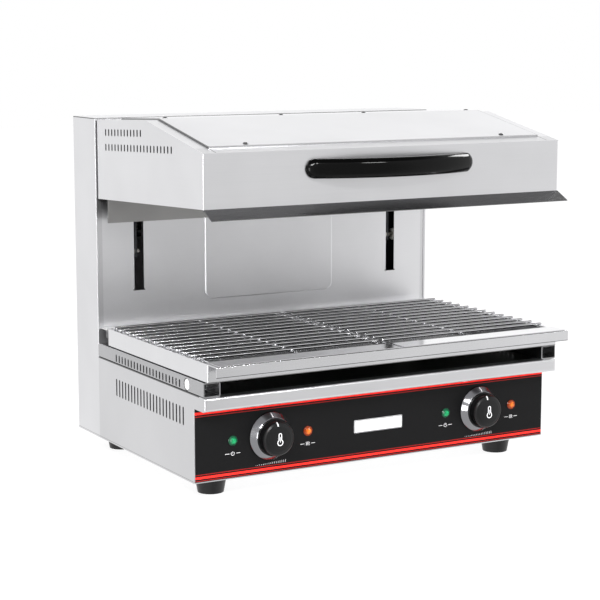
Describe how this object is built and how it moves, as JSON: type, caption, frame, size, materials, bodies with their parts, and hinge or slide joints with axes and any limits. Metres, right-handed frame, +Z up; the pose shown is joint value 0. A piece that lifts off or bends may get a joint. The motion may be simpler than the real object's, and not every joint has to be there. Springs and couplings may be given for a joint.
{
  "type": "salamander grill",
  "caption": "Countertop salamander grill with a lifting heated head, wire grids over a drip tray, and a base with thermostat knobs.",
  "frame": {"origin": "middle of the overall box, on the worktop under the feet", "axes": "+X to the right seen from the front, +Y towards the back, +Z up"},
  "size_m": [0.6, 0.479, 0.526],
  "materials": {
    "feet_rubber": "moulded black rubber",
    "stop_rubber": "black rubber block",
    "grommet_rubber": "black rubber",
    "zinc_screws": "zinc plated steel",
    "stainless_screws": "stainless, low rounded head",
    "stainless_base": "brushed stainless sheet",
    "stainless_rails": "brushed stainless tube",
    "stainless_column": "brushed stainless sheet",
    "stainless_head": "brushed stainless sheet",
    "stainless_lip": "brushed stainless sheet, tinted by heat",
    "stainless_inner": "bright stainless sheet, dulled by heat",
    "stainless_tray": "brushed stainless sheet",
    "chrome_wire": "chrome plated wire",
    "printed_film": "black film with red stripes",
    "badge_white": "blank white plate",
    "lens_green": "translucent green lens",
    "lens_amber": "translucent orange lens",
    "lamp_body": "moulded holder",
    "thermostat_body": "moulded housing",
    "knob_black": "moulded black knob",
    "knob_chrome": "chrome plated cone",
    "spindle_steel": "turned steel",
    "button_nylon": "white nylon",
    "roller_nylon": "nylon roller",
    "galvanised": "galvanised steel",
    "spring_steel": "close wound spring wire",
    "terminal_ceramic": "ceramic block",
    "element_sheath": "dark oxidised element sheath",
    "handle_black": "glossy black moulding"
  },
  "bodies": {
    "frame_unit": {"back_panel": "stainless_column", "badge_plate": "badge_white", "base_bottom": "stainless_base", "base_side_left": "stainless_base", "base_side_right": "stainless_base", "bump_stops": "stop_rubber", "cable_grommet": "grommet_rubber", "column_rear_cover": "stainless_column", "column_side_left": "stainless_column", "column_side_right": "stainless_column", "column_top_cap": "stainless_column", "control_panel": "stainless_base", "deck_plate": "stainless_base", "feet": "feet_rubber", "foot_bolts": "zinc_screws", "guide_channel_left": "galvanised", "guide_channel_right": "galvanised", "lamp_holders": "lamp_body", "lamp_lenses_amber": "lens_amber", "lamp_lenses_green": "lens_green", "lift_spring_left": "spring_steel", "lift_spring_right": "spring_steel", "nose_strip": "stainless_base", "panel_film": "printed_film", "rail_buttons": "button_nylon", "rail_left": "stainless_rails", "rail_right": "stainless_rails", "rear_cover_screws": "zinc_screws", "rear_shelf": "stainless_column", "spring_anchors": "galvanised", "terminal_block": "terminal_ceramic", "thermostats": "thermostat_body"},
    "head_unit": {"head_shell": "stainless_head", "head_front_lip": "stainless_lip", "head_top_frame": "stainless_head", "head_top_cover": "stainless_head", "head_cover_screws": "stainless_screws", "head_rear_wall": "stainless_inner", "head_rear_skirt": "stainless_inner", "reflector": "stainless_inner", "element_left": "element_sheath", "element_right": "element_sheath", "element_hangers": "galvanised", "handle": "handle_black", "head_bolts": "zinc_screws", "arm_left": "galvanised", "arm_right": "galvanised", "roller_axles": "zinc_screws"},
    "upper_roller_pair": {"rollers_upper": "roller_nylon"},
    "lower_roller_pair": {"rollers_lower": "roller_nylon"},
    "drip_tray": {"tray": "stainless_tray"},
    "left_grid": {"grid_left": "chrome_wire"},
    "right_grid": {"grid_right": "chrome_wire"},
    "left_knob": {"knob_left": "knob_black", "knob_left_ring": "knob_chrome", "knob_left_spindle": "spindle_steel"},
    "right_knob": {"knob_right": "knob_black", "knob_right_ring": "knob_chrome", "knob_right_spindle": "spindle_steel"}
  },
  "joints": [
    {"name": "head_slide", "type": "slide", "parent": "frame_unit", "child": "head_unit", "axis": [0, 0, 1], "range_m": [-0.11, 0], "deforming": ["lift_spring_left", "lift_spring_right"]},
    {"name": "upper_rollers_roll", "type": "hinge", "parent": "head_unit", "child": "upper_roller_pair", "pos_m": [0, 0.1705, 0.48], "axis": [1, 0, 0], "range_deg": [-640, 10]},
    {"name": "lower_rollers_roll", "type": "hinge", "parent": "head_unit", "child": "lower_roller_pair", "pos_m": [0, 0.1705, 0.312], "axis": [1, 0, 0], "range_deg": [-10, 640]},
    {"name": "tray_pull", "type": "slide", "parent": "frame_unit", "child": "drip_tray", "axis": [0, -1, 0], "range_m": [0, 0.2]},
    {"name": "left_grid_lift", "type": "slide", "parent": "drip_tray", "child": "left_grid", "axis": [0, 0, 1], "range_m": [0, 0.1]},
    {"name": "right_grid_lift", "type": "slide", "parent": "drip_tray", "child": "right_grid", "axis": [0, 0, 1], "range_m": [0, 0.1]},
    {"name": "left_knob_turn", "type": "hinge", "parent": "frame_unit", "child": "left_knob", "pos_m": [-0.1796, -0.171, 0.083], "axis": [0, 1, 0], "range_deg": [0, 270]},
    {"name": "right_knob_turn", "type": "hinge", "parent": "frame_unit", "child": "right_knob", "pos_m": [0.1796, -0.171, 0.083], "axis": [0, 1, 0], "range_deg": [0, 270]}
  ],
  "couplings": [
    {"joint": "upper_rollers_roll", "follows": "head_slide", "rad_per_m": 100},
    {"joint": "lower_rollers_roll", "follows": "head_slide", "rad_per_m": -100}
  ]
}
